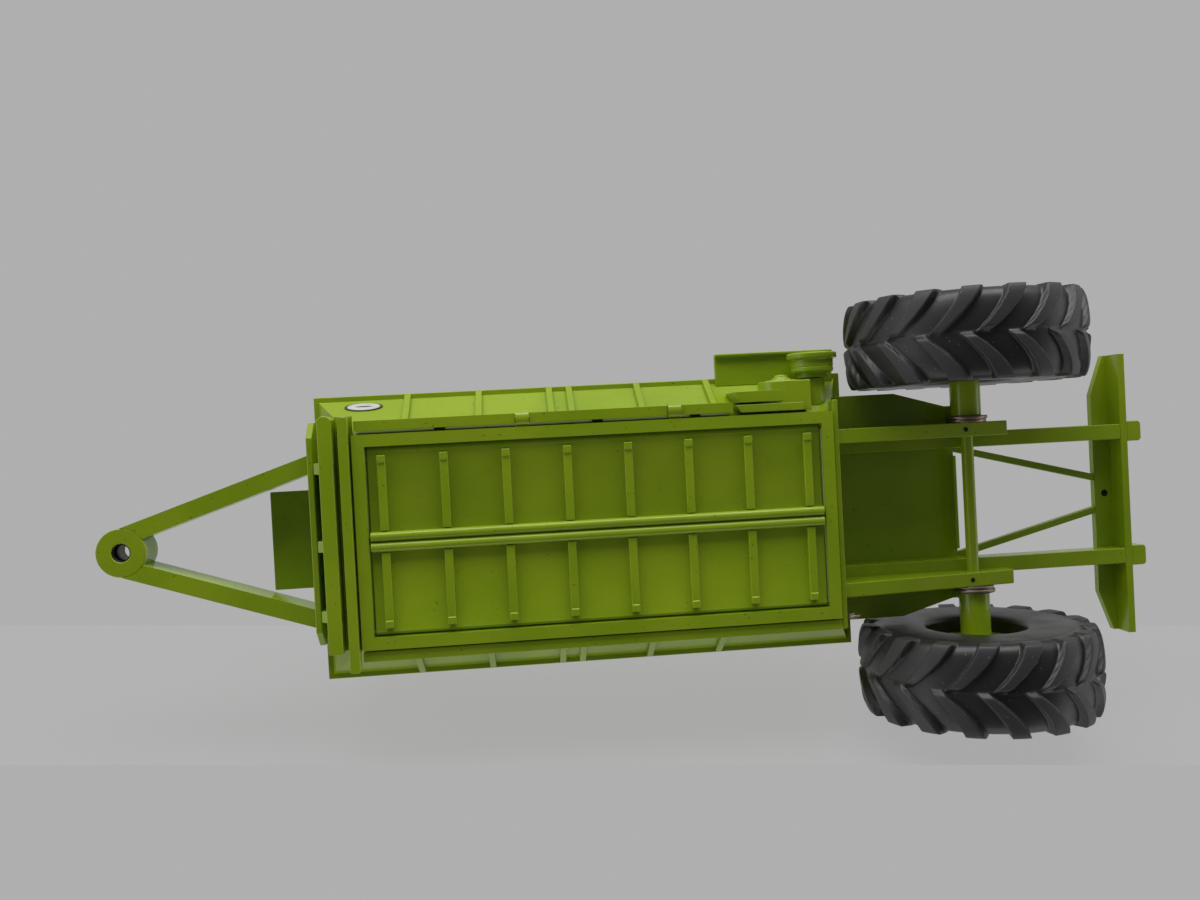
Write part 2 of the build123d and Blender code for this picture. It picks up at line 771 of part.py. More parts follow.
# ---- stubs behind the tail angle, in line with the rails -----------------------------------------
with BuildPart() as tail_stubs:
    for side in (1, -1):
        block(
            tail_rear - stub_length, tail_rear,
            side * rail_spread - stub_width / 2, side * rail_spread + stub_width / 2,
            rail_bottom, rail_top + stub_over,
        )
    fillet(tail_stubs.edges().filter_by(Axis.Z).group_by(Axis.X)[0], stub_corner)
save(tail_stubs, "tail_stubs")


# ---- two braces from the deck to the middle of the tail angle ------------------------------------
def tail_brace(side):
    """A square bar that runs from above a rail to the tail angle's front edge."""
    start = Vector(deck_rear, side * (rail_spread - brace_deck_inset))
    end = Vector(tail_front, side * brace_tail_half)
    along = (end - start).normalized()
    across = Vector(-along.Y, along.X) * (brace_width / 2)
    start = start - along * 2 * brace_width
    end = end + along * 2 * brace_width
    with BuildSketch(Plane.XY.offset(rail_top)) as outline:
        with BuildLine():
            corners = (start - across, end - across, end + across, start + across)
            Polyline(*[(c.X, c.Y) for c in corners], close=True)
        make_face()
        with Locations((deck_rear + far / 2, 0), (tail_front - far / 2, 0)):
            Rectangle(far, far, mode=Mode.SUBTRACT)
    extrude(outline.sketch, amount=tail_web)


for side, name in ((1, "left"), (-1, "right")):
    with BuildPart() as brace:
        tail_brace(side)
    save(brace, f"tail_brace_{name}")

# ---- axle arms, rod, washers and spacers ---------------------------------------------------------
axle_arm_top = rail_bottom - rail_seat
arm_outer = axle_arm_spread + axle_arm_width / 2
for side, name in ((1, "left"), (-1, "right")):
    with BuildPart() as axle_arm:
        with BuildSketch(Plane.XZ.offset(-(side * axle_arm_spread + axle_arm_width / 2))):
            with BuildLine():
                Polyline(
                    (end_rear, belly_z + axle_arm_up),
                    (axle_at - axle_dia / 2, axle_z - axle_arm_knee),
                    (from_axle(-axle_arm_behind), axle_z - axle_arm_tail),
                    (from_axle(-axle_arm_behind), axle_arm_top),
                    (end_rear, axle_arm_top),
                    close=True,
                )
            make_face()
        extrude(amount=axle_arm_width)
        trim_to_rear_wall()
        rod_along_y(axle_at, -far, far, axle_z, axle_dia, mode=Mode.SUBTRACT)
    save(axle_arm, f"axle_arm_{name}")

washers_end = arm_outer + 2 * washer_thick
spacer_end = track / 2 - tyre_width / 2 + hub_recess - slide_gap
hub_end = spacer_end + slide_gap + hub_web
cap_start = hub_end + slide_gap
with BuildPart() as axle_rod:
    rod_along_y(axle_at, -(cap_start + rod_in_cap), cap_start + rod_in_cap, axle_z, axle_dia)
save(axle_rod, "axle_rod")

with BuildPart() as axle_washers:
    for side in (1, -1):
        rod_along_y(axle_at, side * arm_outer, side * washers_end, axle_z, washer_dia)
    rod_along_y(axle_at, -far, far, axle_z, axle_dia, mode=Mode.SUBTRACT)
save(axle_washers, "axle_washers")

for side, name in ((1, "left"), (-1, "right")):
    with BuildPart() as spacer:
        rod_along_y(axle_at, side * washers_end, side * spacer_end, axle_z, spacer_dia)
        rod_along_y(axle_at, -far, far, axle_z, axle_dia, mode=Mode.SUBTRACT)
    save(spacer, f"axle_spacer_{name}")
    with BuildPart() as cap:
        rod_along_y(axle_at, side * cap_start, side * (cap_start + cap_thick), axle_z, cap_dia)
        rod_along_y(axle_at, 0, side * (cap_start + rod_in_cap), axle_z, axle_dia, mode=Mode.SUBTRACT)
        fillet(cap.edges().filter_by(GeomType.CIRCLE).sort_by(Axis.Y)[-1 if side > 0 else 0], cap_corner)
    save(cap, f"axle_cap_{name}")

# ---- wheels --------------------------------------------------------------------------------------
hub_start = spacer_end + slide_gap
half = tyre_width / 2
tyre_radius = tyre_dia / 2
rim_radius = rim_dia / 2
tyre_side = (               # radius, and inset from the tyre's side, from the bead to the tread
    (rim_radius, 3.0), (rim_radius + 2.0, 0.8), (tyre_radius - 8.0, 0.0),
    (tyre_radius - 2.0, 1.6), (tyre_radius, 5.0),
)
for side, name in ((1, "left"), (-1, "right")):
    with BuildPart() as wheel_hub:
        rod_along_y(axle_at, side * hub_start, side * hub_end, axle_z, rim_dia)
        rod_along_y(
            axle_at, side * (hub_start + hub_disc), side * far, axle_z, rim_dia - 2 * hub_rim,
            mode=Mode.SUBTRACT,
        )
        rod_along_y(axle_at, side * hub_start, side * hub_end, axle_z, spacer_dia + 2 * boss_wall)
        rod_along_y(axle_at, 0, side * far, axle_z, axle_dia + 2 * running_gap, mode=Mode.SUBTRACT)
    save(wheel_hub, f"wheel_hub_{name}")
    with BuildPart() as tyre:
        with BuildSketch(Plane.XY):
            with BuildLine():
                inner_side = [(radius, inset - half) for radius, inset in tyre_side]
                outer_side = [(radius, half - inset) for radius, inset in reversed(tyre_side)]
                Polyline(*inner_side, *outer_side, close=True)
            make_face()
        revolve(axis=Axis.Y)
    tyre.part.position = (axle_at, side * track / 2, axle_z)
    save(tyre, f"tyre_{name}")

# ---- belt drive: gear cup and brackets on the left wall ------------------------------------------
with BuildPart() as gear_cup:
    rod_along_y(gear_x, cup_start, cup_end, gear_z, gear_dia)
    block(gear_x - gear_dia / 2, gear_x, cup_start, cup_end, gear_z - gear_dia / 2, gear_z)
    rod_along_y(gear_x, cup_end - cup_depth, far, gear_z, gear_dia - 2 * cup_wall, mode=Mode.SUBTRACT)
    trim_to_left_wall()
save(gear_cup, "gear_cup")

with BuildPart() as gear_nut:
    nut_start = cup_end - cup_depth
    rod_along_y(gear_x, nut_start, cup_end + nut_proud, gear_z, gear_dia - 2 * cup_wall - 2 * slide_gap)
    fillet(gear_nut.edges().filter_by(GeomType.CIRCLE).sort_by(Axis.Y)[-1], nut_corner)
    rod_along_y(gear_x, nut_start, cup_end + nut_stud_proud, gear_z, nut_stud_dia)
    fillet(gear_nut.edges().filter_by(GeomType.CIRCLE).sort_by(Axis.Y)[-1], nut_stud_corner)
    trim_to_left_wall()
save(gear_nut, "gear_nut")

for name, start, width, low in (
    ("lower", cup_start, lower_bracket_width, belly_z + 0.4),
    ("upper", upper_bracket_start, upper_bracket_width, belly_z + 0.8),
):
    with BuildPart() as bracket:
        with BuildSketch(Plane.XY.offset(low)):
            with BuildLine():
                Polyline(
                    (bracket_rear, start), (bracket_front - bracket_point, start),
                    (bracket_front, start + width), (bracket_rear, start + width),
                    close=True,
                )
            make_face()
        extrude(amount=bracket_height)
        trim_to_left_wall()
        rod_along_y(gear_x, 0, far, gear_z, gear_dia, mode=Mode.SUBTRACT)
        block(
            bracket_rear - gear_dia, gear_x, 0, far,
            gear_z - gear_dia / 2, gear_z + gear_dia, mode=Mode.SUBTRACT,
        )
    save(bracket, f"gear_bracket_{name}")

# ---- bearing boss, turning shaft and pulley ------------------------------------------------------
with BuildPart() as shaft_boss:
    rod_along_y(drive_x, mouth_half_width, boss_end, drive_z, boss_dia)
    trim_to_left_wall()
    rod_along_y(drive_x, 0, far, drive_z, shaft_dia + 2 * running_gap, mode=Mode.SUBTRACT)
save(shaft_boss, "shaft_boss")

with BuildPart() as drive_shaft:
    rod_along_y(drive_x, wall_y(drive_z) - shaft_inside, pulley_end, drive_z, shaft_dia)
save(drive_shaft, "drive_shaft")

with BuildPart() as pulley:
    rod_along_y(drive_x, boss_end + slide_gap, pulley_hub_end, drive_z, pulley_hub_dia)
    rod_along_y(drive_x, pulley_hub_end, pulley_groove_end, drive_z, pulley_dia - 2 * pulley_groove)
    rod_along_y(drive_x, pulley_groove_end, pulley_end, drive_z, pulley_dia)
    rod_along_y(drive_x, 0, far, drive_z, shaft_dia, mode=Mode.SUBTRACT)
    chamfer(pulley.edges().filter_by(GeomType.CIRCLE).sort_by(Axis.Y)[-2:], pulley_corner)
save(pulley, "pulley")

# ---- guard plate over the drive, under the flange ------------------------------------------------
with BuildPart() as drive_guard:
    guard_z = flange_z - guard_thick
    block(guard_rear, guard_front, mouth_half_width, guard_half, guard_z, flange_z)
    block(guard_rear, guard_front, guard_half - guard_lip_thick, guard_half, guard_z - guard_lip, guard_z)
    trim_to_left_wall()
    for x in side_rib_spots:
        block(
            x - rib_width / 2 - slide_gap, x + rib_width / 2 + slide_gap,
            mouth_half_width, wall_top_half + 2 * rib_top_depth,
            guard_z - guard_lip, flange_z, mode=Mode.SUBTRACT,
        )
save(drive_guard, "drive_guard")

# ---- small wire catch at the rear right corner of the belly --------------------------------------
with BuildPart() as corner_catch:
    catch_x = end_rear - catch_radius - catch_wire / 2
    with Locations(Location((catch_x, -frame_half, belly_z + catch_up), (90, 0, 0))):
        Torus(catch_radius, catch_wire / 2)
save(corner_catch, "corner_catch")
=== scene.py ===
import json
import math

import bmesh
import bpy
import numpy as np
from mathutils import Matrix, Vector


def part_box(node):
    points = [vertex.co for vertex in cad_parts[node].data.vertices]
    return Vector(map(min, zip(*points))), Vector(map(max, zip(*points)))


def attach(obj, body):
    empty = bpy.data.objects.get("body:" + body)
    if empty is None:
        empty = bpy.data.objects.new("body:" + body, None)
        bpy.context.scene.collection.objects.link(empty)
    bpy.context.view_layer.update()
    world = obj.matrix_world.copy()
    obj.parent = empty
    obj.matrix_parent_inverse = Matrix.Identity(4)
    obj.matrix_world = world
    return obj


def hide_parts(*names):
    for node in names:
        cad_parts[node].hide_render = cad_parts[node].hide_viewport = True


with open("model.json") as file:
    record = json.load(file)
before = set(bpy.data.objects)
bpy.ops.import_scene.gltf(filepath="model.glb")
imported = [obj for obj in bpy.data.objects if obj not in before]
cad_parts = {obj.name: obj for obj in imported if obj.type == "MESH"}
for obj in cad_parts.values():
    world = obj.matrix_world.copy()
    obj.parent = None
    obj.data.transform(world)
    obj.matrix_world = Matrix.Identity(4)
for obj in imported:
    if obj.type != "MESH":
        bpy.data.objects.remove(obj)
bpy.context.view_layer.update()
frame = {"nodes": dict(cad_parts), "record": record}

# ---- where it is seen from ----------------------------------------------------------------------
# The model lies on its right side, so the viewer looks up at its belly, nose to the left, from a
# quarter of a metre away. The lens is a short one and the viewer leans about three degrees.
camera_data = bpy.data.cameras.new("camera")
camera_data.lens = 30.0
camera_data.sensor_width = 36.0
camera_data.clip_start = 0.01
camera_data.clip_end = 20.0
camera = bpy.data.objects.new("camera", camera_data)
bpy.context.scene.collection.objects.link(camera)
camera_place = Vector((0.03248, 0.02376, -0.23202))
camera_aim = Vector((0.01061, 0.01998, 0.03200))
camera_lean = math.radians(3.0)
forward = (camera_aim - camera_place).normalized()
sideways = forward.cross(Vector((-math.sin(camera_lean), math.cos(camera_lean), 0))).normalized()
upward = sideways.cross(forward)
turn = Matrix((sideways, upward, -forward)).transposed().to_4x4()
camera.matrix_world = Matrix.Translation(camera_place) @ turn
bpy.context.scene.camera = camera

# ---- light ---------------------------------------------------------------------------------------
# A wide soft box on the model's left side, which is overhead while it lies down, a weaker one over
# its open top for when it stands, and a grey room, brightest just below the middle and dark under it.
bpy.context.scene.view_settings.view_transform = "Standard"
room = bpy.data.worlds.new("room")
bpy.context.scene.world = room
room.use_nodes = True
nodes, links = room.node_tree.nodes, room.node_tree.links
room_light = nodes["Background"]
facing = nodes.new("ShaderNodeTexCoord")
height = nodes.new("ShaderNodeSeparateXYZ")
links.new(facing.outputs["Generated"], height.inputs[0])
tones = nodes.new("ShaderNodeValToRGB")
upwards = nodes.new("ShaderNodeMapRange")
upwards.inputs["From Min"].default_value = -1.0
links.new(height.outputs["Z"], upwards.inputs["Value"])
links.new(upwards.outputs["Result"], tones.inputs["Fac"])
tones.color_ramp.interpolation = "EASE"
tone_stops = ((0.0, 0.06), (0.22, 0.14), (0.39, 1.15), (0.475, 1.15), (0.51, 0.62), (0.78, 0.43))
ready_stops = len(tones.color_ramp.elements)
for number, (spot, grey) in enumerate(tone_stops):
    stop = tones.color_ramp.elements[number] if number < ready_stops else tones.color_ramp.elements.new(spot)
    stop.position = spot
    stop.color = (grey, grey, grey, 1)
links.new(tones.outputs["Color"], room_light.inputs["Color"])


def soft_box(name, place, aim, width, depth, power):
    """A rectangular lamp at `place` that faces `aim`."""
    lamp = bpy.data.lights.new(name, "AREA")
    lamp.shape = "RECTANGLE"
    lamp.size = width
    lamp.size_y = depth
    lamp.energy = power
    holder = bpy.data.objects.new(name, lamp)
    bpy.context.scene.collection.objects.link(holder)
    holder.location = place
    holder.rotation_euler = (Vector(aim) - Vector(place)).to_track_quat("-Z", "X").to_euler()
    return holder


soft_box(
    "left_soft_box", place=(0.05, 0.74, -0.225), aim=(0.02, 0.0, -0.04), width=0.40, depth=1.2, power=5.1
)
top_soft_box = soft_box(
    "top_soft_box", place=(0.1, -0.35, 0.95), aim=(0.0, 0.0, 0.03), width=0.8, depth=0.8, power=4.0
)
top_soft_box.visible_glossy = False

# ---- floor and shelf -----------------------------------------------------------------------------
# The floor that the wheels stand on, and the clear shelf that the model lies on, just under the right
# tyre's side and the top rim's front corner. Each is a flat sheet that is seen from one side only.


def one_sided(name, colour, roughness, see_through):
    """A pale board that isn't there from behind, and lets part of the room through from in front."""
    material = bpy.data.materials.new(name)
    material.use_nodes = True
    nodes, links = material.node_tree.nodes, material.node_tree.links
    board = nodes["Principled BSDF"]
    board.inputs["Base Color"].default_value = (*colour, 1)
    board.inputs["Roughness"].default_value = roughness
    gone = nodes.new("ShaderNodeBsdfTransparent")
    thin = nodes.new("ShaderNodeMixShader")
    thin.inputs[0].default_value = see_through
    one_side = nodes.new("ShaderNodeMixShader")
    side_seen = nodes.new("ShaderNodeNewGeometry")
    links.new(board.outputs[0], thin.inputs[1])
    links.new(gone.outputs[0], thin.inputs[2])
    links.new(side_seen.outputs["Backfacing"], one_side.inputs[0])
    links.new(thin.outputs[0], one_side.inputs[1])
    links.new(gone.outputs[0], one_side.inputs[2])
    links.new(one_side.outputs[0], nodes["Material Output"].inputs["Surface"])
    return material


def stage_plane(name, corners, material):
    """A flat sheet through four corners, which faces the side they turn anticlockwise on."""
    mesh = bpy.data.meshes.new(name)
    mesh.from_pydata(corners, [], [(0, 1, 2, 3)])
    mesh.materials.append(material)
    sheet = bpy.data.objects.new(name, mesh)
    bpy.context.scene.collection.objects.link(sheet)
    return sheet


floor_reach = 3.0
floor_z = -0.0004
floor = stage_plane(
    "floor",
    [(x * floor_reach, y * floor_reach, floor_z) for x, y in ((-1, -1), (1, -1), (1, 1), (-1, 1))],
    one_sided("pale_floor", colour=(0.60, 0.60, 0.60), roughness=0.5, see_through=0.0),
)
floor.visible_diffuse = False
floor.visible_glossy = False
floor.visible_shadow = False

# The shelf's near edge, far edge and half its length are measured from the lowest point of the tyre's
# side, which is touching_radius from the wheel's centre. All are in metres.
shelf_near, shelf_far = -0.043, 0.040
shelf_reach = 0.25
shelf_shift = 0.09
touching_radius = 0.029
shelf_gap = 0.0006
rim_low, rim_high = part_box("top_rim")
tyre_low, tyre_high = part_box("tyre_right")
rim_corner = Vector((rim_high.x, rim_low.y, rim_high.z))
tyre_side = Vector(((tyre_low.x + tyre_high.x) / 2, tyre_low.y, (tyre_low.z + tyre_high.z) / 2))
shelf_up = sideways.cross(rim_corner - tyre_side).normalized()
if shelf_up.y < 0:
    shelf_up = -shelf_up
shelf_away = shelf_up.cross(sideways).normalized()
if shelf_away.z < 0:
    shelf_away = -shelf_away
lowest_way = (shelf_up - shelf_up.y * Vector((0, 1, 0))).normalized()
shelf_point = tyre_side - touching_radius * lowest_way - shelf_gap * shelf_up
shelf_middle = shelf_point - shelf_shift * sideways
shelf_ring = [
    shelf_middle + across * shelf_reach * sideways + away * shelf_away
    for across, away in ((-1, shelf_near), (-1, shelf_far), (1, shelf_far), (1, shelf_near))
]
ring_turns_up = (shelf_ring[1] - shelf_ring[0]).cross(shelf_ring[2] - shelf_ring[1]).dot(shelf_up) > 0
stage_plane(
    "shelf_top",
    shelf_ring if ring_turns_up else shelf_ring[::-1],
    one_sided("clear_shelf", colour=(0.66, 0.66, 0.65), roughness=0.06, see_through=0.90),
)

# ---- green enamel --------------------------------------------------------------------------------
# One thick coat of glossy lime enamel, sprayed over solder and folded sheet. It is slightly uneven
# in colour, softly rippled like orange peel, and carries fine dust.


def effect_group(name, inputs, outputs):
    """An empty shader node group with its sockets made, and its two end nodes."""
    group = bpy.data.node_groups.new(name, "ShaderNodeTree")
    for label, kind, value in inputs:
        socket = group.interface.new_socket(name=label, in_out="INPUT", socket_type=kind)
        socket.default_value = value
    for label, kind in outputs:
        group.interface.new_socket(name=label, in_out="OUTPUT", socket_type=kind)
    return group, group.nodes.new("NodeGroupInput"), group.nodes.new("NodeGroupOutput")


def colour_mix(tree, factor, first, second):
    """A Mix node: the first colour where the factor is 0, the second, a socket or a colour, where it is 1.
    Its colour sockets go by number, because their names repeat."""
    first_socket, second_socket, result_socket = 6, 7, 2
    mix = tree.nodes.new("ShaderNodeMix")
    mix.data_type = "RGBA"
    tree.links.new(factor, mix.inputs["Factor"])
    tree.links.new(first, mix.inputs[first_socket])
    if isinstance(second, tuple):
        mix.inputs[second_socket].default_value = (*second, 1)
    else:
        tree.links.new(second, mix.inputs[second_socket])
    return mix.outputs[result_socket]


film, film_in, film_out = effect_group(
    "uneven_film",
    [
        ("Thin", "NodeSocketColor", (0.3, 0.5, 0.02, 1)),
        ("Thick", "NodeSocketColor", (0.2, 0.4, 0.02, 1)),
        ("Patch Scale", "NodeSocketFloat", 60.0),
        ("Ripple Scale", "NodeSocketFloat", 900.0),
        ("Gloss", "NodeSocketFloat", 0.15),
        ("Dull", "NodeSocketFloat", 0.35),
    ],
    [("Color", "NodeSocketColor"), ("Roughness", "NodeSocketFloat"), ("Height", "NodeSocketFloat")],
)
where = film.nodes.new("ShaderNodeTexCoord")
patches = film.nodes.new("ShaderNodeTexNoise")
patches.inputs["Detail"].default_value = 4.0
ripple = film.nodes.new("ShaderNodeTexNoise")
ripple.inputs["Detail"].default_value = 2.0
patch_range = film.nodes.new("ShaderNodeMapRange")
patch_range.inputs["From Min"].default_value = 0.35
patch_range.inputs["From Max"].default_value = 0.65
rough_range = film.nodes.new("ShaderNodeMapRange")
rough_range.inputs["From Min"].default_value = 0.3
rough_range.inputs["From Max"].default_value = 0.8
join = film.links.new
join(where.outputs["Object"], patches.inputs["Vector"])
join(where.outputs["Object"], ripple.inputs["Vector"])
join(film_in.outputs["Patch Scale"], patches.inputs["Scale"])
join(film_in.outputs["Ripple Scale"], ripple.inputs["Scale"])
join(patches.outputs["Fac"], patch_range.inputs["Value"])
patchy = colour_mix(film, patch_range.outputs["Result"], film_in.outputs["Thin"], film_in.outputs["Thick"])
join(patches.outputs["Fac"], rough_range.inputs["Value"])
join(film_in.outputs["Gloss"], rough_range.inputs["To Min"])
join(film_in.outputs["Dull"], rough_range.inputs["To Max"])
join(patchy, film_out.inputs["Color"])
join(rough_range.outputs["Result"], film_out.inputs["Roughness"])
join(ripple.outputs["Fac"], film_out.inputs["Height"])

specks, specks_in, specks_out = effect_group(
    "fine_specks",
    [
        ("Scale", "NodeSocketFloat", 1500.0),
        ("Begin", "NodeSocketFloat", 0.74),
        ("Full", "NodeSocketFloat", 0.80),
        ("Strength", "NodeSocketFloat", 1.0),
    ],
    [("Mask", "NodeSocketFloat")],
)
speck_place = specks.nodes.new("ShaderNodeTexCoord")
speck_noise = specks.nodes.new("ShaderNodeTexNoise")
speck_noise.inputs["Detail"].default_value = 1.0
speck_range = specks.nodes.new("ShaderNodeMapRange")
join = specks.links.new
join(speck_place.outputs["Object"], speck_noise.inputs["Vector"])
join(specks_in.outputs["Scale"], speck_noise.inputs["Scale"])
join(speck_noise.outputs["Fac"], speck_range.inputs["Value"])
join(specks_in.outputs["Begin"], speck_range.inputs["From Min"])
join(specks_in.outputs["Full"], speck_range.inputs["From Max"])
join(specks_in.outputs["Strength"], speck_range.inputs["To Max"])
join(speck_range.outputs["Result"], specks_out.inputs["Mask"])


def coated(name, thin, thick, patch_scale, ripple_scale, gloss, dull, ripple_height):
    """A material whose colour, roughness and ripple come from the uneven film. Gives the material, its
    shader and its film."""
    material = bpy.data.materials.new(name)
    material.use_nodes = True
    tree = material.node_tree
    surface = tree.nodes["Principled BSDF"]
    coat = tree.nodes.new("ShaderNodeGroup")
    coat.node_tree = film
    coat.inputs["Thin"].default_value = (*thin, 1)
    coat.inputs["Thick"].default_value = (*thick, 1)
    coat.inputs["Patch Scale"].default_value = patch_scale
    coat.inputs["Ripple Scale"].default_value = ripple_scale
    coat.inputs["Gloss"].default_value = gloss
    coat.inputs["Dull"].default_value = dull
    bump = tree.nodes.new("ShaderNodeBump")
    bump.inputs["Strength"].default_value = 0.5
    bump.inputs["Distance"].default_value = ripple_height
    tree.links.new(coat.outputs["Color"], surface.inputs["Base Color"])
    tree.links.new(coat.outputs["Roughness"], surface.inputs["Roughness"])
    tree.links.new(coat.outputs["Height"], bump.inputs["Height"])
    tree.links.new(bump.outputs["Normal"], surface.inputs["Normal"])
    return material, surface, coat


def speckled(material, under, colour, scale, begin, full, strength=1.0):
    """Specks of one colour over the colour `under`, wherever a fine noise passes `begin`."""
    tree = material.node_tree
    dust = tree.nodes.new("ShaderNodeGroup")
    dust.node_tree = specks
    dust.inputs["Scale"].default_value = scale
    dust.inputs["Begin"].default_value = begin
    dust.inputs["Full"].default_value = full
    dust.inputs["Strength"].default_value = strength
    return colour_mix(tree, dust.outputs["Mask"], under, colour)


enamel, enamel_surface, enamel_film = coated(
    "lime_enamel", thin=(0.305, 0.428, 0.012), thick=(0.248, 0.372, 0.007),
    patch_scale=45.0, ripple_scale=700.0, gloss=0.13, dull=0.26, ripple_height=0.00005,
)
flecked = speckled(
    enamel, enamel_film.outputs["Color"], colour=(0.035, 0.055, 0.008),
    scale=1250.0, begin=0.735, full=0.80, strength=0.75,
)
enamel.node_tree.links.new(flecked, enamel_surface.inputs["Base Color"])
body_of_node = {
    node: body for body, members in frame["record"]["behaviour"]["bodies"].items() for node in members
}


def settle(piece, node, finish):
    """Gives a piece its finish and has it stand for a node of the frame and ride where it rode."""
    piece.data.materials.clear()
    piece.data.materials.append(finish)
    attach(piece, body_of_node[node])
    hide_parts(node)


def rounded_edges(piece, width, segments=2):
    """Rounds the sharp edges of a piece over, `width` metres wide."""
    rounding = piece.modifiers.new("rounded edges", "BEVEL")
    rounding.width = width
    rounding.segments = segments
    rounding.limit_method = "ANGLE"
    rounding.angle_limit = math.radians(28)
    rounding.harden_normals = True


def painted(node):
    """The node's own shape, its loose triangles joined up and its edges rounded over by the paint."""
    mesh = frame["nodes"][node].data.copy()
    mesh.name = node + "_painted"
    imported_normals = mesh.attributes.get("custom_normal")
    if imported_normals:
        mesh.attributes.remove(imported_normals)
    shape = bmesh.new()
    shape.from_mesh(mesh)
    bmesh.ops.remove_doubles(shape, verts=shape.verts, dist=2e-6)
    bmesh.ops.dissolve_limit(shape, angle_limit=math.radians(1.0), verts=shape.verts, edges=shape.edges)
    for face in shape.faces:
        face.smooth = True
    shape.to_mesh(mesh)
    shape.free()
    piece = bpy.data.objects.new(node + "_painted", mesh)
    bpy.context.scene.collection.objects.link(piece)
    rounded_edges(piece, paint_edge, segments=3)
    settle(piece, node, enamel)


paint_edge = 0.00028
made_new = ("pulley", "gear_nut")
for subpart in frame["record"]["subparts"]:
    if subpart["material_slot"] == "green_enamel" and subpart["node"] not in made_new:
        painted(subpart["node"])

# ---- tyres ---------------------------------------------------------------------------------------
# Soft black rubber, moulded in two halves that meet on the centre line. Underneath, narrow curved
# lugs run back from that line to the shoulders, the two sides about a third of a pitch apart.
# Lengths are in metres and sweeps in radians. Stagger, flank, half width and flare are parts of a
# pitch. The carcass is (lateral, radius) in millimetres.
lugs_round = 17
rows_per_lug = 40
tyre_half_width = 0.0115
tread_low, tread_full = 0.0256, 0.0268
lug_begins, lug_full = -0.0002, 0.0012
lug_sweep, lug_sweep_bend = 0.46, 0.13
lug_stagger, lug_flank = 0.36, 0.020
lug_half_width, lug_flare = 0.125, 0.115
lug_middle_height, lug_shoulder_rise = 0.0014, 0.0012
seam_height, seam_width = 0.00022, 0.00022
line_radius, line_depth, line_width, line_from = 0.0252, 0.00018, 0.00022, 0.010
tyre_carcass = [
    (-8.3, 13.0), (-10.0, 13.1), (-11.0, 14.0), (-11.4, 17.0), (-11.5, 21.0), (-11.4, 25.0),
    (-11.0, 27.0), (-9.6, 28.4), (-7.4, 29.3), (-4.6, 29.9), (-2.2, 30.15), (0.0, 30.2),
    (2.2, 30.15), (4.6, 29.9), (7.4, 29.3), (9.6, 28.4), (11.0, 27.0), (11.4, 25.0),
    (11.5, 21.0), (11.4, 17.0), (11.0, 14.0), (10.0, 13.1), (8.3, 13.0), (0.0, 13.0),
]


def closed_curve(points, per_span):
    """Catmull-Rom curve through the points and back to the first:
    p(t) = (2b + (c-a)t + (2a-5b+4c-d)t^2 + (3b-a-3c+d)t^3) / 2 on each span b to c."""
    b = np.array(points, float)
    a, c, d = np.roll(b, 1, 0), np.roll(b, -1, 0), np.roll(b, -2, 0)
    t = (np.arange(per_span) / per_span)[None, :, None]
    a, b, c, d = (v[:, None, :] for v in (a, b, c, d))
    curve = (2 * b + (c - a) * t + (2 * a - 5 * b + 4 * c - d) * t**2 + (3 * b - a - 3 * c + d) * t**3) / 2
    return curve.reshape(-1, 2)


def smooth_step(value, low, high):
    """0 below low, 1 above high, 3t^2 - 2t^3 between."""
    t = np.clip((value - low) / (high - low), 0, 1)
    return t * t * (3 - 2 * t)


def grid_faces(rows, columns):
    """Quads of a grid that closes on itself both ways, as vertex numbers row by row."""
    i, j = np.meshgrid(np.arange(rows), np.arange(columns), indexing="ij")
    up, across = (i + 1) % rows, (j + 1) % columns
    corners = [i * columns + j, i * columns + across, up * columns + across, up * columns + j]
    return np.stack(corners, -1).reshape(-1, 4)


def surface_object(name, points, faces):
    """A smooth mesh object from an array of points and an array of quads, its faces turned outwards."""
    mesh = bpy.data.meshes.new(name)
    mesh.vertices.add(len(points))
    mesh.vertices.foreach_set("co", np.ascontiguousarray(points, np.float32).ravel())
    mesh.loops.add(faces.size)
    mesh.loops.foreach_set("vertex_index", faces.astype(np.int32).ravel())
    mesh.polygons.add(len(faces))
    mesh.polygons.foreach_set("loop_start", np.arange(0, faces.size, faces.shape[1], dtype=np.int32))
    mesh.update(calc_edges=True)
    shape = bmesh.new()
    shape.from_mesh(mesh)
    bmesh.ops.recalc_face_normals(shape, faces=shape.faces)
    shape.to_mesh(mesh)
    shape.free()
    mesh.polygons.foreach_set("use_smooth", np.full(len(faces), True))
    piece = bpy.data.objects.new(name, mesh)
    bpy.context.scene.collection.objects.link(piece)
    return piece


def add_measure(piece, name, values):
    """Stores one number for each vertex, for the piece's material to read."""
    measure = piece.data.attributes.new(name, "FLOAT", "POINT")
    measure.data.foreach_set("value", np.ascontiguousarray(values, np.float32).ravel())


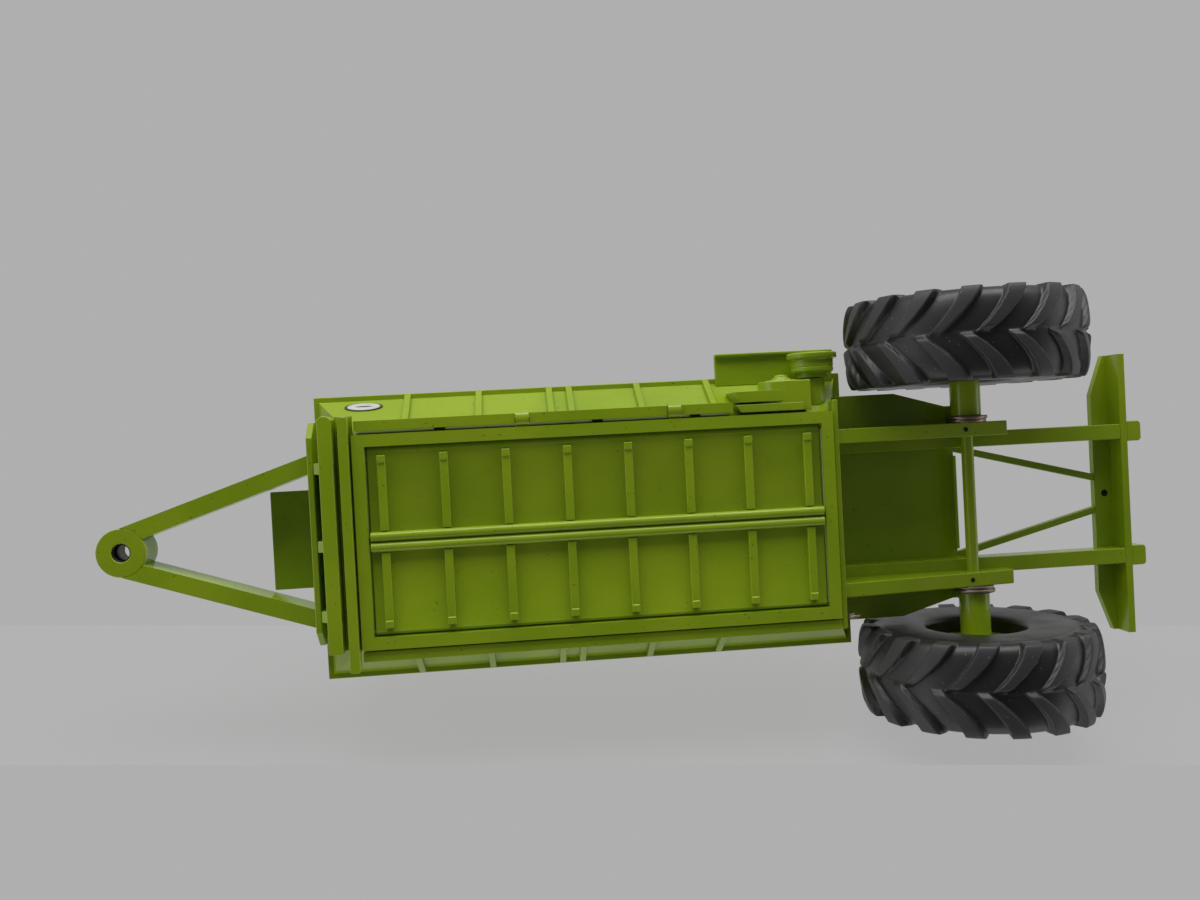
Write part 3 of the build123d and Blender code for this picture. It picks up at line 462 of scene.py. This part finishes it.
def lugged_tyre(node):
    """Carcass section (lateral, radius) turned about the axle. A point goes out along the section's
    normal by a lug's height, middle + rise * reach^2, where reach is 1 at the shoulder. The lug runs on
    the grid's own lines, which are swept round by sweep * reach - bend * reach^2, and takes up
    half_width + flare * reach of a pitch on either side of them. The section also has a raised
    moulding seam in the middle and a sunk line round the sidewall, each exp(-(distance / width)^2)."""
    low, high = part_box(node)
    centre = (low + high) / 2
    section = closed_curve(tyre_carcass, 5) / 1000
    ahead = np.roll(section, -1, 0) - np.roll(section, 1, 0)
    normal = np.stack([-ahead[:, 1], ahead[:, 0]], -1)
    normal /= np.linalg.norm(normal, axis=1)[:, None]
    lateral, radius = section[:, 0], section[:, 1]
    reach = np.abs(lateral) / tyre_half_width
    tread = smooth_step(radius, tread_low, tread_full)
    pitch = 2 * np.pi / lugs_round
    rows = lugs_round * rows_per_lug
    turn_angle = np.arange(rows) / rows * 2 * np.pi
    stagger = np.where(lateral >= 0, 0.0, lug_stagger * pitch)
    phase = ((turn_angle[:, None] + stagger[None, :]) / pitch) % 1.0 - 0.5
    half_width = (lug_half_width + lug_flare * reach)[None, :]
    across = 1 - smooth_step(np.abs(phase), half_width - lug_flank, half_width + lug_flank)
    along = smooth_step(np.abs(lateral), lug_begins, lug_full) * tread
    height = lug_middle_height + lug_shoulder_rise * reach**2
    lift = height[None, :] * across * along[None, :]
    seam = seam_height * np.exp(-((lateral / seam_width) ** 2)) * tread
    line = line_depth * np.exp(-(((radius - line_radius) / line_width) ** 2)) * (np.abs(lateral) > line_from)
    push = lift + (seam - line)[None, :]
    lateral_out = lateral[None, :] + push * normal[None, :, 0]
    lateral_out = np.clip(lateral_out, -tyre_half_width, tyre_half_width)
    radius_out = radius[None, :] + push * normal[None, :, 1]
    angle = turn_angle[:, None] + (lug_sweep * reach - lug_sweep_bend * reach**2)[None, :]
    x = centre.x + radius_out * np.cos(angle)
    y = centre.y + lateral_out
    z = centre.z - radius_out * np.sin(angle)
    tyre = surface_object(
        node + "_lugged", np.stack([x, y, z], -1).reshape(-1, 3), grid_faces(rows, len(section))
    )
    add_measure(tyre, "on_lug", across * along[None, :])
    return tyre


rubber, rubber_surface, rubber_film = coated(
    "moulded_rubber", thin=(0.024, 0.0235, 0.024), thick=(0.017, 0.0165, 0.017),
    patch_scale=120.0, ripple_scale=1400.0, gloss=0.30, dull=0.46, ripple_height=0.00004,
)
nodes, links = rubber.node_tree.nodes, rubber.node_tree.links
on_lug = nodes.new("ShaderNodeAttribute")
on_lug.attribute_name = "on_lug"
worn = colour_mix(
    rubber.node_tree, on_lug.outputs["Fac"], rubber_film.outputs["Color"], (0.036, 0.0355, 0.036)
)
dusted = speckled(rubber, worn, colour=(0.22, 0.22, 0.21), scale=1600.0, begin=0.745, full=0.80)
links.new(dusted, rubber_surface.inputs["Base Color"])
lug_dullness = 0.14
matte = nodes.new("ShaderNodeMath")
matte.operation = "MULTIPLY_ADD"
matte.inputs[1].default_value = lug_dullness
links.new(on_lug.outputs["Fac"], matte.inputs[0])
links.new(rubber_film.outputs["Roughness"], matte.inputs[2])
links.new(matte.outputs[0], rubber_surface.inputs["Roughness"])

for node_name in ("tyre_left", "tyre_right"):
    settle(lugged_tyre(node_name), node_name, rubber)

# ---- belt pulley and gear nut --------------------------------------------------------------------
# Both are turned. The pulley has a thin flange at its outer end and one fine line round its body.
# The nut is a lumpy cast gear with a stepped dome, sitting in its cup under the same enamel.


def turning_sizes(node):
    """A turned node's axis, as x and z in metres, then its two ends and its radius in millimetres."""
    low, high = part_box(node)
    return (low.x + high.x) / 2, (low.z + high.z) / 2, low.y * 1000, high.y * 1000, (high.x - low.x) * 500


def turned(name, axis_x, axis_z, profile, rows, lobes=0, lobe_depth=0.0, lobe_from=0.0):
    """A closed profile of (y, radius) in millimetres, turned about a line along Y. Where the radius is
    more than lobe_from, in metres, it grows by lobe_depth * cos(lobes * angle)."""
    section = np.array(profile) / 1000
    angle = np.arange(rows) / rows * 2 * np.pi
    lobed = 1.0 * (section[:, 1] > lobe_from)
    radius = section[None, :, 1] + lobe_depth * lobed[None, :] * np.cos(lobes * angle)[:, None]
    x = axis_x + radius * np.cos(angle)[:, None]
    y = np.broadcast_to(section[None, :, 0], radius.shape)
    z = axis_z + radius * np.sin(angle)[:, None]
    return surface_object(name, np.stack([x, y, z], -1).reshape(-1, 3), grid_faces(rows, len(section)))


axis_x, axis_z, y0, y1, r = turning_sizes("pulley")
pulley = turned(
    "pulley_grooved", axis_x, axis_z,
    [
        (y0, 1.5), (y0, 4.0), (y0 + 1.3, 4.0), (y0 + 1.3, r - 1.5), (y0 + 1.8, r - 1.0),
        (y0 + 2.6, r - 1.0), (y0 + 2.7, r - 1.1), (y0 + 2.9, r - 1.1), (y0 + 3.0, r - 1.0),
        (y1 - 2.0, r - 1.0), (y1 - 1.7, r - 0.8), (y1 - 1.5, r - 0.1), (y1 - 1.3, r), (y1 - 0.3, r),
        (y1, r - 0.3), (y1, r - 1.4), (y1 - 0.6, r - 1.8), (y1 - 0.6, 2.4), (y1, 2.2), (y1, 1.5),
    ],
    rows=72,
)
rounded_edges(pulley, width=0.00012)
settle(pulley, "pulley", enamel)

axis_x, axis_z, y0, y1, r = turning_sizes("gear_nut")
nut = turned(
    "gear_nut_cast", axis_x, axis_z,
    [
        (y0, 0.05), (y0, r - 0.4), (y1 - 1.9, r - 0.4), (y1 - 1.5, r - 0.7), (y1 - 1.35, r - 1.4),
        (y1 - 1.3, 2.6), (y1 - 0.9, 2.4), (y1 - 0.8, 1.9), (y1 - 0.25, 1.7), (y1, 1.1), (y1, 0.05),
    ],
    rows=96, lobes=13, lobe_depth=0.00022, lobe_from=0.0030,
)
rounded_edges(nut, width=0.00015)
settle(nut, "gear_nut", enamel)

# ---- steel washers, pins and sleeve --------------------------------------------------------------
# Plain turned steel that was never painted, dull and slightly browned by handling. Two washers lie
# together at each side. The eye's bore holds a dark sleeve, which paints in the shade deep in the
# narrow hole. The tail hole has a rivet, each axle arm a grub screw.
steel, steel_surface, _ = coated(
    "dull_steel", thin=(0.33, 0.27, 0.22), thick=(0.22, 0.17, 0.13),
    patch_scale=300.0, ripple_scale=2500.0, gloss=0.3, dull=0.5, ripple_height=0.00002,
)
steel_surface.inputs["Metallic"].default_value = 0.85
# Blackened steel for the rivet and the grub screws. The same dark finish on the eye's sleeve is painted
# shade: it darkens the bore the way its own shade would.
dark_steel_and_bore_shade, dark_surface, _ = coated(
    "blackened_steel_and_bore_shade", thin=(0.020, 0.022, 0.018), thick=(0.010, 0.011, 0.009),
    patch_scale=300.0, ripple_scale=2500.0, gloss=0.35, dull=0.55, ripple_height=0.00002,
)
dark_surface.inputs["Metallic"].default_value = 0.6

# The bore's radius, and how far in from the outer face each step of the profile is, in millimetres.
washer_bore = 1.72
washer_steps = (0.0, 0.06, 0.78, 0.86, 0.92, 1.00, 1.74, 1.80)
axle_x, axle_z, right_face, left_face, r = turning_sizes("axle_washers")
washer_pair = bpy.data.meshes.new("axle_washer_pair")
stack = bmesh.new()
for side, far_face, inwards in (("left", left_face, -1), ("right", right_face, 1)):
    y = [far_face + inwards * step for step in washer_steps]
    disc = turned(
        "washers_" + side, axle_x, axle_z,
        [
            (y[0], washer_bore), (y[0], r - 0.12), (y[1], r), (y[2], r), (y[3], r - 0.10),
            (y[4], r - 0.45), (y[5], r - 0.32), (y[6], r - 0.32), (y[7], r - 0.40), (y[7], washer_bore),
        ],
        rows=64,
    )
    stack.from_mesh(disc.data)
    bpy.data.objects.remove(disc)
stack.to_mesh(washer_pair)
stack.free()
washers = bpy.data.objects.new("axle_washer_pair", washer_pair)
bpy.context.scene.collection.objects.link(washers)
settle(washers, "axle_washers", steel)


def refinish(node, finish):
    """Gives a node of the frame its finish, its shape left as it is."""
    materials = frame["nodes"][node].data.materials
    materials.clear()
    materials.append(finish)


for subpart in frame["record"]["subparts"]:
    if subpart["material_slot"] == "washer_steel" and subpart["node"] != "axle_washers":
        refinish(subpart["node"], steel)


def standing_tube(name, x, y, low_z, high_z, inner, outer, rounded, rows=48):
    """A tube on a line along Z: the closed profile (z, radius) turned about that line, its outer
    corners cut off by `rounded`. A plug is a tube with a hair-thin bore."""
    middle = (low_z + high_z) / 2
    profile = np.array([
        (low_z, inner), (low_z, outer - rounded), (low_z + rounded, outer), (middle, outer),
        (high_z - rounded, outer), (high_z, outer - rounded), (high_z, inner), (middle, inner),
    ])
    angle = np.arange(rows) / rows * 2 * np.pi
    points = np.stack([
        x + profile[None, :, 1] * np.cos(angle)[:, None],
        y + profile[None, :, 1] * np.sin(angle)[:, None],
        np.broadcast_to(profile[None, :, 0], (rows, len(profile))),
    ], -1)
    return surface_object(name, points.reshape(-1, 3), grid_faces(rows, len(profile)))


hair_bore = 0.00004
sleeve_recess = 0.0003
rivet_from_tail = 0.0041
screw_ahead = 0.002
eye_low, eye_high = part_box("hitch_eye")
# Painted shade: a dark sleeve lining the hitch eye's bore, so the hole reads dark as if in deep shade.
bore_shade_sleeve = standing_tube(
    "eye_bore_shade_sleeve", (eye_low.x + eye_high.x) / 2, (eye_low.y + eye_high.y) / 2,
    eye_low.z + sleeve_recess, eye_high.z - sleeve_recess, inner=0.00215, outer=0.00239, rounded=0.00005,
)
tail_low, tail_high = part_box("tail_angle")
rivet = standing_tube(
    "tail_rivet", tail_low.x + rivet_from_tail, 0.0,
    tail_high.z - 0.0019, tail_high.z - 0.0004, inner=hair_bore, outer=0.00098, rounded=0.0002,
)
small_steel = [bore_shade_sleeve, rivet]
for side in ("left", "right"):
    arm_low, arm_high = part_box("axle_arm_" + side)
    grub_screw = standing_tube(
        "grub_screw_" + side, axle_x + screw_ahead, (arm_low.y + arm_high.y) / 2,
        axle_z - 0.0042, axle_z - 0.0030, inner=hair_bore, outer=0.0006, rounded=0.0001,
    )
    small_steel.append(grub_screw)
for piece in small_steel:
    piece.data.materials.append(dark_steel_and_bore_shade)
    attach(piece, body_of_node["hitch_eye"])

# ---- badge ---------------------------------------------------------------------------------------
# A thin oval label stuck on the left side near the nose, printed silver-white with a dark outline
# and one slim dark bar in place of any lettering.
silver, silver_surface, silver_film = coated(
    "badge_silver", thin=(0.62, 0.63, 0.61), thick=(0.52, 0.53, 0.51),
    patch_scale=300.0, ripple_scale=2500.0, gloss=0.25, dull=0.35, ripple_height=0.00001,
)
badge_low, badge_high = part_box("side_badge")
badge_middle = (badge_low + badge_high) / 2
badge_half = (badge_high - badge_low) / 2
nodes, links = silver.node_tree.nodes, silver.node_tree.links
badge_place = nodes.new("ShaderNodeTexCoord")
centred = nodes.new("ShaderNodeMapping")
centred.vector_type = "TEXTURE"
centred.inputs["Location"].default_value = badge_middle
centred.inputs["Scale"].default_value = (badge_half.x, badge_half.y, badge_half.z)
links.new(badge_place.outputs["Object"], centred.inputs["Vector"])
parted = nodes.new("ShaderNodeSeparateXYZ")
links.new(centred.outputs["Vector"], parted.inputs[0])


def square_sum(first, second, second_scale):
    """first^2 + (second_scale * second)^2, as Math nodes."""
    one = nodes.new("ShaderNodeMath")
    one.operation = "MULTIPLY"
    links.new(first, one.inputs[0])
    links.new(first, one.inputs[1])
    scaled = nodes.new("ShaderNodeMath")
    scaled.operation = "MULTIPLY"
    scaled.inputs[1].default_value = second_scale
    links.new(second, scaled.inputs[0])
    both = nodes.new("ShaderNodeMath")
    both.operation = "MULTIPLY_ADD"
    links.new(scaled.outputs[0], both.inputs[0])
    links.new(scaled.outputs[0], both.inputs[1])
    links.new(one.outputs[0], both.inputs[2])
    return both.outputs[0]


def ramp(value, zero_at, one_at):
    """0 at zero_at and beyond it, 1 at one_at and beyond it, straight between."""
    slope = nodes.new("ShaderNodeMapRange")
    slope.inputs["From Min"].default_value = zero_at
    slope.inputs["From Max"].default_value = one_at
    links.new(value, slope.inputs["Value"])
    return slope.outputs["Result"]


bar_slimness = 3.2
outline = ramp(square_sum(parted.outputs["X"], parted.outputs["Z"], 1.0), zero_at=0.70, one_at=0.78)
bar = ramp(square_sum(parted.outputs["X"], parted.outputs["Z"], bar_slimness), zero_at=0.22, one_at=0.18)
either = nodes.new("ShaderNodeMath")
either.operation = "MAXIMUM"
links.new(outline, either.inputs[0])
links.new(bar, either.inputs[1])
printed = colour_mix(
    silver.node_tree, either.outputs[0], silver_film.outputs["Color"], (0.035, 0.045, 0.03)
)
links.new(printed, silver_surface.inputs["Base Color"])
refinish("side_badge", silver)
